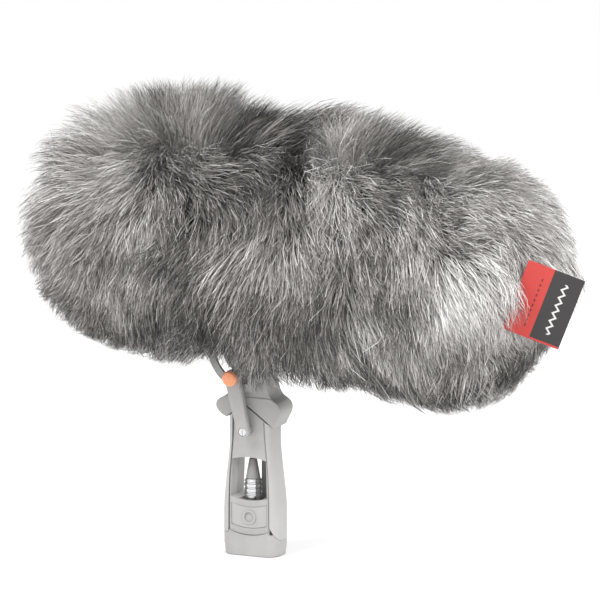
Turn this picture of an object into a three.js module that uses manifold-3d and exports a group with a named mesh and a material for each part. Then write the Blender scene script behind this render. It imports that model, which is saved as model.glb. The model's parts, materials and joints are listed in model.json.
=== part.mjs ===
// Furry windscreen on a pistol grip: a long-haired cover over a cage that holds a microphone,
// carried by a grip whose head lets the cage tilt.
//
// Millimetres, +Z up. The origin is the centre of the grip's flat base, +X points along the
// windscreen towards its nose, and -Y is the side with the lock lever.

import * as THREE from 'three';
import { mergeVertices } from 'three/addons/utils/BufferGeometryUtils.js';
import Module from 'manifold-3d';

const wasm = await Module();
wasm.setup();

// ---- driving dimensions ----

const GAP = 0.3;                 // left between pieces that touch
const TILT_REST = 3;             // degrees, nose down, as it is carried
const PIVOT_Z = 168;             // tilt axis above the grip's base
const AXIS_HEIGHT = 78;          // cage axis above the tilt axis
const CAGE_MID = 37;             // cage middle ahead of the tilt axis
const CAGE_RADIUS = 50;
const CAGE_TUBE = 274;           // length of the straight part of the cage
const CAGE_WALL = 2;
const CAP_LENGTH = 50;
const RING_WIDTH = 12;

const FUR_HALF_LENGTH = 227;
const FUR_SIDE = 104;            // outline radius at the sides and underneath
const FUR_TOP = 121;             // outline radius on top, where the pile stands up
const FUR_TOP_FALL = 10;         // how much less that is at the nose, and more at the rear
const FUR_INSIDE = 54.5;         // radius of the lining
const FUR_INSIDE_LENGTH = 192;
const FUR_ROUND = 2.7;           // how square the ends are, 2 is an ellipse
const WAIST_AT = -28;            // waist from the cage middle, over the grip
const WAIST_DEPTH = 0.08;
const WAIST_WIDTH = 38;

const GRIP_Y = 14;               // half thickness of the grip
const FACE_Y = 12.6;             // half thickness of its side faces
const WALL = 3;
const BASE_TOP = 18;             // top of the base block
const WINDOW_LOW = 45;
const WINDOW_HIGH = 79;
const NECK_Y = 13;
const FORK_GAP = 8.8;            // half gap between the arms of the head
const FORK_RADIUS = 13;
const HUB_RADIUS = 11;
const CABLE_RADIUS = 2.5;
const CONNECTOR_X = -2;

const LEVER_FOOT = new THREE.Vector2(-0.8, 102);
const LEVER_TOP = new THREE.Vector2(-10.4, 145);
const LEVER_Y = 17.6;            // inner face of the lever, out from the middle
const LEVER_THICK = 6;
const KNOB_RADIUS = 6.2;
const QUADRANT_Y = 13.4;         // inner face of the quadrant plate
const QUADRANT_THICK = 3;
const SLOT_RADIUS = 25;
const SLOT_HALF_WIDTH = 3.6;
const QUADRANT_RADIUS = 34.5;

// ---- colours ----

const FUR_GREY = 0x8a8683;
const LINING = 0x2c2b2a;
const TAG_RED = 0xc8322c;
const SHELL_GREY = 0xb9b8b4;
const RUBBER_GREY = 0xc4c2c0;
const KNOB_ORANGE = 0xf0966e;
const STEEL = 0xc9cacc;
const BRASS = 0xb89a5a;
const CAGE_BLACK = 0x3a3a3c;
const CABLE_GREY = 0x6d6d6b;

// ---- working with solids ----

function toSolid(geometry) {
  const bare = geometry.clone();
  bare.deleteAttribute('normal');
  bare.deleteAttribute('uv');
  const merged = mergeVertices(bare, 1e-4);
  const vertProperties = new Float32Array(merged.attributes.position.array);
  const index = merged.index.array;
  const kept = [];
  for (let i = 0; i < index.length; i += 3) {
    const [a, b, c] = [index[i], index[i + 1], index[i + 2]];
    if (a !== b && b !== c && a !== c) kept.push(a, b, c);
  }
  return new wasm.Manifold(new wasm.Mesh({ numProp: 3, vertProperties, triVerts: new Uint32Array(kept) }));
}

function toGeometry(solid) {
  const mesh = solid.getMesh();
  const geometry = new THREE.BufferGeometry();
  geometry.setAttribute('position', new THREE.BufferAttribute(mesh.vertProperties, 3));
  geometry.setIndex(new THREE.BufferAttribute(mesh.triVerts, 1));
  return geometry;
}

function cut(geometry, ...tools) {
  let solid = toSolid(geometry);
  for (const tool of tools) solid = solid.subtract(toSolid(tool));
  return toGeometry(solid);
}

function join(...geometries) {
  let solid = toSolid(geometries[0]);
  for (const geometry of geometries.slice(1)) solid = solid.add(toSolid(geometry));
  return toGeometry(solid);
}

function common(geometry, tool) {
  return toGeometry(toSolid(geometry).intersect(toSolid(tool)));
}

// ---- basic shapes ----

function box(x0, x1, y0, y1, z0, z1) {
  const geometry = new THREE.BoxGeometry(x1 - x0, y1 - y0, z1 - z0);
  return geometry.translate((x0 + x1) / 2, (y0 + y1) / 2, (z0 + z1) / 2);
}

function extrude(shape, depth, bevel, segments = 3) {
  return new THREE.ExtrudeGeometry(shape, {
    depth: depth - 2 * bevel,
    bevelEnabled: bevel > 0,
    bevelThickness: bevel,
    bevelSize: bevel,
    bevelOffset: -bevel,
    bevelSegments: segments,
    curveSegments: 8,
  }).translate(0, 0, bevel);
}

// A shape drawn with X across and Z up, made solid from y0 to y1.
function plateXZ(shape, y0, y1, bevel = 0, segments = 3) {
  return extrude(shape, y1 - y0, bevel, segments).rotateX(Math.PI / 2).translate(0, y1, 0);
}

// A shape drawn with Y across and Z up, made solid from x0 to x1.
function plateYZ(shape, x0, x1, bevel = 0, segments = 2) {
  const turn = new THREE.Matrix4().makeBasis(
    new THREE.Vector3(0, 1, 0), new THREE.Vector3(0, 0, 1), new THREE.Vector3(1, 0, 0));
  return extrude(shape, x1 - x0, bevel, segments).applyMatrix4(turn).translate(x0, 0, 0);
}

function rodX(radius, x0, x1, y, z, sides = 20) {
  const rod = new THREE.CylinderGeometry(radius, radius, x1 - x0, sides);
  return rod.rotateZ(Math.PI / 2).translate((x0 + x1) / 2, y, z);
}

function rodY(radius, y0, y1, x, z, sides = 20) {
  const rod = new THREE.CylinderGeometry(radius, radius, y1 - y0, sides);
  return rod.translate(x, (y0 + y1) / 2, z);
}

function rodZ(radius, z0, z1, x, y, sides = 20) {
  const rod = new THREE.CylinderGeometry(radius, radius, z1 - z0, sides);
  return rod.rotateX(Math.PI / 2).translate(x, y, (z0 + z1) / 2);
}

// A turned piece: the profile's points are (radius, distance along the axis).
function turnedX(profile, sides) {
  const points = profile.map(([radius, along]) => new THREE.Vector2(radius, along));
  return new THREE.LatheGeometry(points, sides).rotateZ(-Math.PI / 2);
}

function turnedZ(profile, sides) {
  const points = profile.map(([radius, along]) => new THREE.Vector2(radius, along));
  return new THREE.LatheGeometry(points, sides).rotateX(Math.PI / 2);
}

// A closed shape from points, without those that lie on the line between their neighbours.
function closedShape(points) {
  const flat = 1e-3;
  const kept = points.filter((p, i) => {
    const before = points[(i + points.length - 1) % points.length];
    const after = points[(i + 1) % points.length];
    const a = p.clone().sub(before);
    const b = after.clone().sub(p);
    return Math.abs(a.cross(b)) > flat * (a.length() + b.length());
  });
  return new THREE.Shape(kept);
}

function outline(points) {
  return closedShape(points.map(([x, y]) => new THREE.Vector2(x, y)));
}

function smoothOutline(points, divisions) {
  const curve = new THREE.SplineCurve(points.map(([x, y]) => new THREE.Vector2(x, y)));
  return curve.getPoints(divisions);
}

function roundedRectangle(x0, x1, y0, y1, radius) {
  const shape = new THREE.Shape();
  shape.moveTo(x0 + radius, y0);
  shape.lineTo(x1 - radius, y0);
  shape.absarc(x1 - radius, y0 + radius, radius, -Math.PI / 2, 0);
  shape.lineTo(x1, y1 - radius);
  shape.absarc(x1 - radius, y1 - radius, radius, 0, Math.PI / 2);
  shape.lineTo(x0 + radius, y1);
  shape.absarc(x0 + radius, y1 - radius, radius, Math.PI / 2, Math.PI);
  shape.lineTo(x0, y0 + radius);
  shape.absarc(x0 + radius, y0 + radius, radius, Math.PI, Math.PI * 1.5);
  return shape;
}

function finish(color, roughness, metalness = 0) {
  return new THREE.MeshStandardMaterial({ color, roughness, metalness });
}

function piece(parent, name, geometry, material) {
  const mesh = new THREE.Mesh(geometry, material);
  mesh.name = name;
  parent.add(mesh);
  return mesh;
}

// ---- grip ----

const grip = new THREE.Group();

// Half depth of the grip along X by height: full in the palm, waisted under the head.
const GRIP_HALF = 25;
const depthCurve = new THREE.SplineCurve([
  [23.6, 0], [24.8, 8], [25, 30], [24.6, 45], [23, 60], [20.8, 78], [19.6, 92], [19.8, 112], [19.8, 140],
].map(([x, z]) => new THREE.Vector2(x, z)));

function halfDepth(z) {
  const points = depthCurve.getPoints(70);
  const above = points.findIndex((p) => p.y > z);
  if (above < 1) return above === 0 ? points[0].x : points[points.length - 1].x;
  const low = points[above - 1];
  const high = points[above];
  return low.x + ((high.x - low.x) * (z - low.y)) / (high.y - low.y);
}

// A rounded column whose depth follows that curve.
function gripColumn() {
  const height = 135;
  const column = new THREE.ExtrudeGeometry(roundedRectangle(-GRIP_HALF, GRIP_HALF, -GRIP_Y, GRIP_Y, 10.5), {
    depth: height, steps: 15, bevelEnabled: false, curveSegments: 4,
  });
  const place = column.attributes.position;
  for (let i = 0; i < place.count; i += 1) {
    place.setX(i, (place.getX(i) * halfDepth(place.getZ(i))) / GRIP_HALF);
  }
  return column;
}

// The top of the grip is a ridge that the head sits on.
const RIDGE = [[-5, 122.5], [21.5, 103.5], [40, 103.5], [40, 200], [-40, 200], [-40, 110], [-19.5, 110]];
const gripBody = cut(gripColumn(), plateXZ(outline(RIDGE), -30, 30));

// Side frames hold the middle of the grip, between the two rubber pads.
function frameOutline(extra = 0) {
  const right = smoothOutline([
    [17.8 + extra, -5], [17.8 + extra, 22], [17.6 + extra, 45], [16.8 + extra, 66],
    [14.6 + extra, 90], [13.6 + extra, 112], [13.6 + extra, 140],
  ], 10);
  const left = right.map((p) => new THREE.Vector2(-p.x, p.y)).reverse();
  return closedShape([...right, ...left]);
}

const windowShape = new THREE.Shape();
windowShape.moveTo(-16, WINDOW_LOW + 2);
windowShape.quadraticCurveTo(0, WINDOW_LOW - 3, 16, WINDOW_LOW + 2);
windowShape.lineTo(14.8, WINDOW_HIGH - 1.5);
windowShape.quadraticCurveTo(0, WINDOW_HIGH + 3, -14.8, WINDOW_HIGH - 1.5);
windowShape.closePath();

// The far frame's window is short, because a rib beside the connector closes the rest.
const windowCuts = {
  right: plateXZ(windowShape, -30, 30),
  left: common(plateXZ(windowShape, -30, 30), box(-40, 1, -40, 40, 0, 140)),
};

// The badge plate's outline, or that of its seat, which is larger by the inset.
const PLATE_DEPTH = 1.8;
function plateOutline(inset) {
  const [half, low, high] = [15.4 - inset, 24.5 + inset, 42 - inset];
  const dip = 5;
  const shape = new THREE.Shape();
  shape.moveTo(-half, low);
  shape.quadraticCurveTo(0, low - dip, half, low);
  shape.lineTo(half, high);
  shape.quadraticCurveTo(0, high - dip, -half, high);
  shape.closePath();
  return shape;
}

// The seam between the frames and the base block dips in the middle.
const SEAM_EDGE = 20.5;
const SEAM_DIP = 13;
const FRAME_FOOT = 17.8;
const aboveSeam = new THREE.Shape();
aboveSeam.moveTo(-FRAME_FOOT - 1, SEAM_EDGE);
aboveSeam.quadraticCurveTo(0, SEAM_DIP, FRAME_FOOT + 1, SEAM_EDGE);
aboveSeam.lineTo(FRAME_FOOT + 1, 140);
aboveSeam.lineTo(-FRAME_FOOT - 1, 140);
aboveSeam.closePath();

const frameCore = common(gripBody, plateXZ(frameOutline(), -FACE_Y, FACE_Y, 1.2, 1));
const gripHollow = join(
  box(-9.5, 9.5, -FACE_Y + WALL, FACE_Y - WALL, BASE_TOP - 4, 90),
  box(-5, 5, -6, 6, 80, 130),
);

// Four screws go in from the left and end in blind holes on the right.
const SCREW_PLACES = [[-11.5, 29], [11.5, 29], [-10.4, 88], [10.4, 88]];
const SCREW_END = -FACE_Y + 3;

function gripFrame(side) {
  const seatFloor = FACE_Y - PLATE_DEPTH;
  const half = side === 'right' ? plateXZ(aboveSeam, -40, -GAP / 2) : plateXZ(aboveSeam, GAP / 2, 40);
  const seat = side === 'right' ? plateXZ(plateOutline(0), -30, -seatFloor)
    : plateXZ(plateOutline(0), seatFloor, 30);
  const screwHoles = SCREW_PLACES.map(([x, z]) => rodY(1.9, SCREW_END - GAP, 30, x, z, 12));
  const heads = SCREW_PLACES.map(([x, z]) => rodY(3.3, FACE_Y - 2.4, 30, x, z, 16));
  const leverHole = rodY(2.6, -30, 2, LEVER_FOOT.x, LEVER_FOOT.y, 16);
  return cut(common(frameCore, half), gripHollow, windowCuts[side], seat,
    ...screwHoles, ...heads, leverHole);
}

piece(grip, 'grip_frame_right', gripFrame('right'), finish(SHELL_GREY, 0.6));
piece(grip, 'grip_frame_left', gripFrame('left'), finish(SHELL_GREY, 0.6));

// Rubber pads wrap the front and back edges of the frames.
const padCut = plateXZ(frameOutline(GAP), -40, 40);
function padFoot(inset) {
  const shape = new THREE.Shape();
  shape.moveTo(10, -10);
  shape.lineTo(40, -10);
  shape.lineTo(40, 5 - inset);
  shape.quadraticCurveTo(20 - inset, 8 - inset, 15.5 - inset, 34);
  shape.lineTo(10, 34);
  shape.closePath();
  return shape;
}
const padFootRear = outline([[-10, -10], [-10, BASE_TOP], [-40, BASE_TOP], [-40, -10]]);

piece(grip, 'grip_pad_front',
  cut(common(gripBody, box(5, 40, -40, 40, 0, 140)), padCut, plateXZ(padFoot(0), -40, 40)),
  finish(RUBBER_GREY, 0.85));
piece(grip, 'grip_pad_rear',
  cut(common(gripBody, box(-40, -5, -40, 40, 0, 140)), padCut, plateXZ(padFootRear, -40, 40)),
  finish(RUBBER_GREY, 0.85));

// The base block closes the grip and carries the threaded insert.
const belowSeam = new THREE.Shape();
belowSeam.moveTo(-40, -1);
belowSeam.lineTo(40, -1);
belowSeam.lineTo(40, BASE_TOP - GAP);
belowSeam.lineTo(FRAME_FOOT, BASE_TOP - GAP);
belowSeam.lineTo(FRAME_FOOT - GAP, SEAM_EDGE - 2 * GAP);
belowSeam.quadraticCurveTo(0, SEAM_DIP - GAP, -FRAME_FOOT + GAP, SEAM_EDGE - 2 * GAP);
belowSeam.lineTo(-FRAME_FOOT, BASE_TOP - GAP);
belowSeam.lineTo(-40, BASE_TOP - GAP);
belowSeam.closePath();
const frontKeep = join(box(-40, 15, -40, 40, -2, 30), plateXZ(padFoot(GAP), -40, 40));
const INSERT_RADIUS = 7;
const INSERT_DEPTH = 12;
piece(grip, 'base_block',
  cut(common(common(gripBody, plateXZ(belowSeam, -40, 40)), frontKeep),
    rodZ(INSERT_RADIUS + GAP, -1, INSERT_DEPTH + GAP, 0, 0, 24)),
  finish(SHELL_GREY, 0.6));

// Threaded insert for a boom pole or stand, 3/8 inch, drawn with a plain hole.
piece(grip, 'base_insert', turnedZ([
  [INSERT_RADIUS, 0.2], [INSERT_RADIUS, INSERT_DEPTH], [4.1, INSERT_DEPTH], [4.1, 0.2],
  [INSERT_RADIUS, 0.2],
], 20), finish(BRASS, 0.35, 0.9));

// Plates with a plain raised ring, one each side.
const BADGE_Z = 31;

function badgePlate(side) {
  const out = FACE_Y - 0.4;
  const back = FACE_Y - PLATE_DEPTH + GAP;
  const raised = out + 0.9;
  const ring = (radius, from, to) => rodY(radius, from, to, 0, BADGE_Z, 28);
  const heads = SCREW_PLACES.slice(0, 2).map(([x, z]) => rodY(3.6, 0, 30, x, z, 16));
  if (side === 'right') {
    return cut(join(plateXZ(plateOutline(GAP), -out, -back), ring(5.8, -raised, -back)),
      ring(4.1, -raised - 1, -out + 0.5));
  }
  return cut(join(plateXZ(plateOutline(GAP), back, out), ring(5.8, back, raised)),
    ring(4.1, out - 0.5, raised + 1), ...heads);
}

piece(grip, 'badge_plate_right', badgePlate('right'), finish(SHELL_GREY, 0.5));
piece(grip, 'badge_plate_left', badgePlate('left'), finish(SHELL_GREY, 0.5));

SCREW_PLACES.forEach(([x, z], i) => {
  const head = rodY(2.9, FACE_Y - 2.1, FACE_Y - 0.2, x, z, 16);
  const shank = rodY(1.5, SCREW_END, FACE_Y - 1.5, x, z, 12);
  const socket = rodY(1.3, FACE_Y - 1.2, FACE_Y + 1, x, z, 6);
  piece(grip, `grip_screw_${i + 1}`, cut(join(head, shank), socket), finish(STEEL, 0.3, 0.9));
});

// ---- head of the grip: neck, cable ears and the fork that carries the tilt pivot ----

const HEAD_GAP = 1.1;            // between the ridge and the head, where the fixing lies

function headOutline() {
  const shape = new THREE.Shape();
  shape.moveTo(-5, 122.5 + HEAD_GAP);
  shape.lineTo(21.5, 103.5 + HEAD_GAP);
  shape.bezierCurveTo(23, 108, 25, 111.5, 26.6, 115);
  shape.bezierCurveTo(28.6, 119.5, 27, 124, 22.6, 126.2);
  shape.bezierCurveTo(18.8, 128.2, 17, 130.5, 15.8, 135);
  shape.lineTo(FORK_RADIUS + 0.6, 146);
  shape.lineTo(FORK_RADIUS, PIVOT_Z);
  shape.absarc(0, PIVOT_Z, FORK_RADIUS, 0, Math.PI);
  shape.lineTo(-FORK_RADIUS - 0.6, 146);
  shape.lineTo(-16.6, 135);
  shape.bezierCurveTo(-18, 130.5, -20, 128.6, -23.6, 127);
  shape.bezierCurveTo(-29.6, 124.4, -30.4, 119.5, -27, 115.8);
  shape.bezierCurveTo(-25, 113.4, -22, 111.6, -19.5, 110 + HEAD_GAP);
  shape.closePath();
  return shape;
}

const forkSpace = join(
  box(-40, 40, -FORK_GAP, FORK_GAP, 154, 190),
  rodY(HUB_RADIUS + 4, -FORK_GAP, FORK_GAP, 0, PIVOT_Z, 28),
);
const quadrantClearance = box(-60, 60, -30, -QUADRANT_Y + GAP + 1.0, 128, 200);
const head = cut(
  plateXZ(headOutline(), -NECK_Y, NECK_Y, 1.2, 2),
  forkSpace,
  rodZ(CABLE_RADIUS + 1.2, 90, 160, 0, 0, 16),
  rodY(4.3, -30, 30, 0, PIVOT_Z, 20),
  quadrantClearance,
);
piece(grip, 'grip_head', head, finish(SHELL_GREY, 0.6));

// Two bolts hold the hub between the arms and leave the middle free for the cable.
for (const [side, label] of [[-1, 'right'], [1, 'left']]) {
  const outer = side < 0 ? 12.4 : NECK_Y + 3.4;
  const shank = rodY(3.6, Math.min(side * 5, side * outer), Math.max(side * 5, side * outer), 0, PIVOT_Z);
  const headLow = side < 0 ? 11.2 : NECK_Y + GAP;
  const cap = rodY(side < 0 ? 4 : 6.5, Math.min(side * headLow, side * outer),
    Math.max(side * headLow, side * outer), 0, PIVOT_Z, 24);
  piece(grip, `pivot_bolt_${label}`, join(shank, cap), finish(STEEL, 0.3, 0.9));
}

// ---- lock lever, its foot screw and the clamp knob ----

function leverOutline() {
  const along = LEVER_TOP.clone().sub(LEVER_FOOT);
  const angle = Math.atan2(along.y, along.x);
  const footRadius = 5.2;
  const topRadius = 6.6;
  const shape = new THREE.Shape();
  shape.absarc(LEVER_FOOT.x, LEVER_FOOT.y, footRadius, angle + Math.PI / 2, angle + Math.PI * 1.5);
  shape.absarc(LEVER_TOP.x, LEVER_TOP.y, topRadius, angle - Math.PI / 2, angle + Math.PI / 2);
  shape.closePath();
  return shape;
}

const lever = cut(
  plateXZ(leverOutline(), -LEVER_Y - LEVER_THICK, -LEVER_Y, 1.4, 2),
  rodY(2.4, -40, 0, LEVER_FOOT.x, LEVER_FOOT.y, 16),
  rodY(3.6, -40, -LEVER_Y - LEVER_THICK + 2.2, LEVER_FOOT.x, LEVER_FOOT.y, 20),
  rodY(2.4, -40, 0, LEVER_TOP.x, LEVER_TOP.y, 16),
);
const spacer = cut(
  rodY(4.6, -LEVER_Y + GAP, -FACE_Y - GAP, LEVER_FOOT.x, LEVER_FOOT.y, 20),
  rodY(2.4, -40, 0, LEVER_FOOT.x, LEVER_FOOT.y, 16),
);
piece(grip, 'lock_lever', lever, finish(SHELL_GREY, 0.5));
piece(grip, 'lever_spacer', spacer, finish(STEEL, 0.4, 0.9));
piece(grip, 'lever_screw', cut(
  join(
    rodY(2.1, -LEVER_Y - LEVER_THICK + 1.2, -3, LEVER_FOOT.x, LEVER_FOOT.y, 16),
    rodY(3.2, -LEVER_Y - LEVER_THICK + 0.3, -LEVER_Y - LEVER_THICK + 1.9, LEVER_FOOT.x, LEVER_FOOT.y, 20),
  ),
  box(LEVER_FOOT.x - 0.4, LEVER_FOOT.x + 0.4, -40, -LEVER_Y - LEVER_THICK + 1,
    LEVER_FOOT.y - 4, LEVER_FOOT.y + 4),
), finish(STEEL, 0.2, 1));

// The knob's stud passes through the lever and the quadrant's slot into a square nut.
const KNOB_INNER = LEVER_Y + LEVER_THICK + GAP;
const knob = turnedZ([
  [0, 0], [KNOB_RADIUS - 0.5, 0], [KNOB_RADIUS, 0.6], [KNOB_RADIUS, 3.6], [KNOB_RADIUS - 1.2, 4.8], [0, 5.1],
], 24).rotateX(Math.PI / 2).translate(LEVER_TOP.x, -KNOB_INNER, LEVER_TOP.y);
const stud = rodY(2.1, -KNOB_INNER - 1, -QUADRANT_Y + 0.2, LEVER_TOP.x, LEVER_TOP.y, 16);
piece(grip, 'lock_knob', join(knob, stud), finish(KNOB_ORANGE, 0.4));

// ---- connector and cable inside the grip ----

piece(grip, 'connector_shell', turnedZ([
  [0, 31], [7, 31], [7, 47], [5.8, 47], [5.8, 45], [0, 45],
], 24).translate(CONNECTOR_X, 0, 0), finish(STEEL, 0.25, 1));

function ribbedCollar() {
  const profile = [[0, 47.4], [7.2, 47.4]];
  const ribs = 3;
  const pitch = 4;
  for (let i = 0; i < ribs; i += 1) {
    const z = 48.4 + i * pitch;
    profile.push([7.2, z], [6.5, z + 0.6], [6.5, z + 1.4], [7.2, z + 2]);
  }
  profile.push([6.2, 60.4], [0, 60.4]);
  return turnedZ(profile, 18);
}

piece(grip, 'connector_collar', ribbedCollar().translate(CONNECTOR_X, 0, 0), finish(STEEL, 0.2, 1));
piece(grip, 'connector_boot', cut(turnedZ([
  [0, 60.8], [6, 60.8], [5.6, 62.5], [3.6, 74], [3.2, 76.4], [0, 76.4],
], 20), rodZ(CABLE_RADIUS + 0.4, 66, 80, 0, 0, 12)).translate(CONNECTOR_X, 0, 0), finish(CABLE_GREY, 0.7));

function cable(points, steps, sides = 10) {
  const path = new THREE.CatmullRomCurve3(points.map(([x, y, z]) => new THREE.Vector3(x, y, z)));
  const section = new THREE.Shape();
  section.absarc(0, 0, CABLE_RADIUS, 0, Math.PI * 2);
  const ring = new THREE.Shape(section.getPoints(sides / 4).slice(0, -1));
  return new THREE.ExtrudeGeometry(ring, { steps, extrudePath: path, bevelEnabled: false });
}

piece(grip, 'grip_cable', cable([
  [CONNECTOR_X, 0, 66.5], [CONNECTOR_X, 0, 78], [-0.6, 0, 96], [0, 0, 112], [0, 0, PIVOT_Z - 12.6],
], 16, 12), finish(CABLE_GREY, 0.6));

// ---- windscreen: everything that tilts on the head ----

const windscreen = new THREE.Group();
windscreen.position.set(0, 0, PIVOT_Z);
windscreen.rotation.y = THREE.MathUtils.degToRad(TILT_REST);

const TUBE_START = CAGE_MID - CAGE_TUBE / 2;
const TUBE_END = CAGE_MID + CAGE_TUBE / 2;
const FLOOR = AXIS_HEIGHT - CAGE_RADIUS;

// Hub and stem: the hub turns between the arms, the stem passes into the cage.
const BAR_BOTTOM = FLOOR + CAGE_WALL + 5;
const BAR_TOP = BAR_BOTTOM + 7;
const stem = cut(
  join(
    rodY(HUB_RADIUS, -FORK_GAP + GAP, FORK_GAP - GAP, 0, 0, 28),
    box(-8, 8, -FORK_GAP + GAP, FORK_GAP - GAP, 0, BAR_BOTTOM - GAP),
    box(-22, 22, -FORK_GAP + GAP, FORK_GAP - GAP, FLOOR - 7, FLOOR - 1),
  ),
  rodZ(CABLE_RADIUS + 0.8, -20, 60, 0, 0, 16),
  rodY(4, -30, -4.7, 0, 0, 20),
  rodY(4, 4.7, 30, 0, 0, 20),
);
piece(windscreen, 'tilt_stem', stem, finish(CAGE_BLACK, 0.6));

// Quadrant: a slotted sector beside the head, held to the stem above it.
function quadrantShape() {
  const from = THREE.MathUtils.degToRad(186);
  const to = THREE.MathUtils.degToRad(284);
  const shape = new THREE.Shape();
  shape.absarc(0, 0, QUADRANT_RADIUS, from, to);
  shape.lineTo(13, -8);
  shape.lineTo(13, 22);
  shape.lineTo(-13, 22);
  shape.closePath();
  const slot = new THREE.Path();
  const slotFrom = from + 0.13;
  const slotTo = to - 0.16;
  slot.absarc(0, 0, SLOT_RADIUS + SLOT_HALF_WIDTH, slotFrom, slotTo);
  slot.absarc(0, 0, SLOT_RADIUS - SLOT_HALF_WIDTH, slotTo, slotFrom, true);
  slot.closePath();
  shape.holes.push(slot);
  return shape;
}

const quadrantPlate = plateXZ(quadrantShape(), -QUADRANT_Y - QUADRANT_THICK, -QUADRANT_Y);
const quadrantLug = box(-11, 11, -QUADRANT_Y - 1, -FORK_GAP, 15.5, 21.5);
const quadrantHoles = [-6, 6].map((x) => rodY(2, -30, 0, x, 18.5, 12));
piece(windscreen, 'tilt_quadrant', cut(join(quadrantPlate, quadrantLug), ...quadrantHoles),
  finish(SHELL_GREY, 0.5));

// Cage floor slot, wide enough for the stem and its flange.
const cageSlot = box(-13, 13, -FORK_GAP - 2, FORK_GAP + 2, 0, AXIS_HEIGHT - 20);

function ringAlongX(outer, inner, x0, x1, sides) {
  const ring = new THREE.LatheGeometry([
    new THREE.Vector2(inner, x0), new THREE.Vector2(outer, x0), new THREE.Vector2(outer, x1),
    new THREE.Vector2(inner, x1), new THREE.Vector2(inner, x0),
  ], sides);
  return ring.rotateZ(-Math.PI / 2).translate(0, 0, AXIS_HEIGHT);
}

const CAGE_SIDES = 28;
piece(windscreen, 'cage_tube', cut(
  ringAlongX(CAGE_RADIUS, CAGE_RADIUS - CAGE_WALL, TUBE_START + 2, TUBE_END - 2, CAGE_SIDES), cageSlot,
), finish(CAGE_BLACK, 0.7));
for (const [label, x] of [['rear', TUBE_START + 2], ['front', TUBE_END - 2 - RING_WIDTH]]) {
  piece(windscreen, `cage_ring_${label}`,
    ringAlongX(CAGE_RADIUS + 2.6, CAGE_RADIUS + GAP + 0.2, x, x + RING_WIDTH, CAGE_SIDES),
    finish(CAGE_BLACK, 0.5));
}

// Domed end caps, each with a straight skirt.
const SKIRT = 8;

function dome(radius, start, end) {
  const points = [[0, start], [radius, start]];
  const steps = 5;
  for (let i = 0; i < steps; i += 1) {
    const a = (Math.PI / 2) * (i / steps);
    points.push([radius * Math.cos(a), SKIRT + (end - SKIRT) * Math.sin(a)]);
  }
  points.push([0, end]);
  return turnedX(points, CAGE_SIDES);
}

const capShell = cut(dome(CAGE_RADIUS, 0, CAP_LENGTH),
  dome(CAGE_RADIUS - CAGE_WALL, -1, CAP_LENGTH - CAGE_WALL));
piece(windscreen, 'front_cap', capShell.clone().translate(TUBE_END - 2 + GAP, 0, AXIS_HEIGHT),
  finish(CAGE_BLACK, 0.7));
piece(windscreen, 'rear_cap',
  capShell.clone().rotateZ(Math.PI).translate(TUBE_START + 2 - GAP, 0, AXIS_HEIGHT),
  finish(CAGE_BLACK, 0.7));

// Suspension bar along the cage floor.
const BAR_HALF = 96;
const BAR_START = CAGE_MID - BAR_HALF;
const BAR_END = CAGE_MID + BAR_HALF;
const barSection = outline([
  [-9, BAR_BOTTOM], [9, BAR_BOTTOM], [9, BAR_BOTTOM + 3], [5, BAR_BOTTOM + 3], [5, BAR_TOP],
  [-5, BAR_TOP], [-5, BAR_BOTTOM + 3], [-9, BAR_BOTTOM + 3],
]);
piece(windscreen, 'suspension_bar', cut(
  plateYZ(barSection, BAR_START, BAR_END),
  rodZ(CABLE_RADIUS + 0.8, 0, 60, 0, 0, 16),
  ...[-6.2, 6.2].map((x) => rodZ(1.7, 0, 60, x, 0, 12)),
), finish(STEEL, 0.4, 0.9));
for (const [label, x] of [['rear', -6.2], ['front', 6.2]]) {
  piece(windscreen, `bar_screw_${label}`, join(
    rodZ(1.3, BAR_BOTTOM + 0.5, BAR_TOP + 1, x, 0, 12),
    rodZ(2.4, BAR_TOP + GAP, BAR_TOP + 2, x, 0, 16),
  ), finish(STEEL, 0.3, 0.9));
}

// Each clip: a saddle on the bar, a springy lyre on it and a cradle for the microphone.
const MIC_RADIUS = 10.5;
const CLIP_PLACES = [['rear', CAGE_MID - 62], ['front', CAGE_MID + 62]];

function saddle(x) {
  const shape = outline([
    [-12, BAR_BOTTOM - 2.6], [12, BAR_BOTTOM - 2.6], [12, BAR_TOP + 5], [-12, BAR_TOP + 5],
  ]);
  const grooveWide = box(x - 20, x + 20, -9 - GAP, 9 + GAP, BAR_BOTTOM - GAP, BAR_BOTTOM + 3 + GAP);
  const grooveTall = box(x - 20, x + 20, -5 - GAP, 5 + GAP, BAR_BOTTOM, BAR_TOP + GAP);
  const mouth = box(x - 20, x + 20, -6, 6, BAR_BOTTOM - 10, BAR_BOTTOM);
  return cut(plateYZ(shape, x - 9, x + 9), grooveWide, grooveTall, mouth);
}

function lyre(x) {
  const foot = BAR_TOP + 5 + GAP;
  const thick = 1.6;
  const centre = [];
  const steps = 14;
  for (let i = 0; i <= steps; i += 1) {
    const t = i / steps;
    const side = Math.sin(t * Math.PI);
    centre.push(new THREE.Vector2(8 + 15 * side + 4 * t, foot + 1 + (AXIS_HEIGHT + 4 - foot) * t));
  }
  const arm = (sign) => {
    const outer = centre.map((p) => new THREE.Vector2(sign * (p.x + thick / 2), p.y));
    const inner = centre.map((p) => new THREE.Vector2(sign * (p.x - thick / 2), p.y)).reverse();
    return plateYZ(closedShape([...outer, ...inner]), x - 6, x + 6);
  };
  const footPlate = box(x - 6, x + 6, -10, 10, foot, foot + 2.4);
  const hand = (sign) => box(x - 6, x + 6, Math.min(sign * 11.9, sign * 14), Math.max(sign * 11.9, sign * 14),
    AXIS_HEIGHT - 3, AXIS_HEIGHT + 5);
  return join(footPlate, arm(1), arm(-1), hand(1), hand(-1));
}

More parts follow.
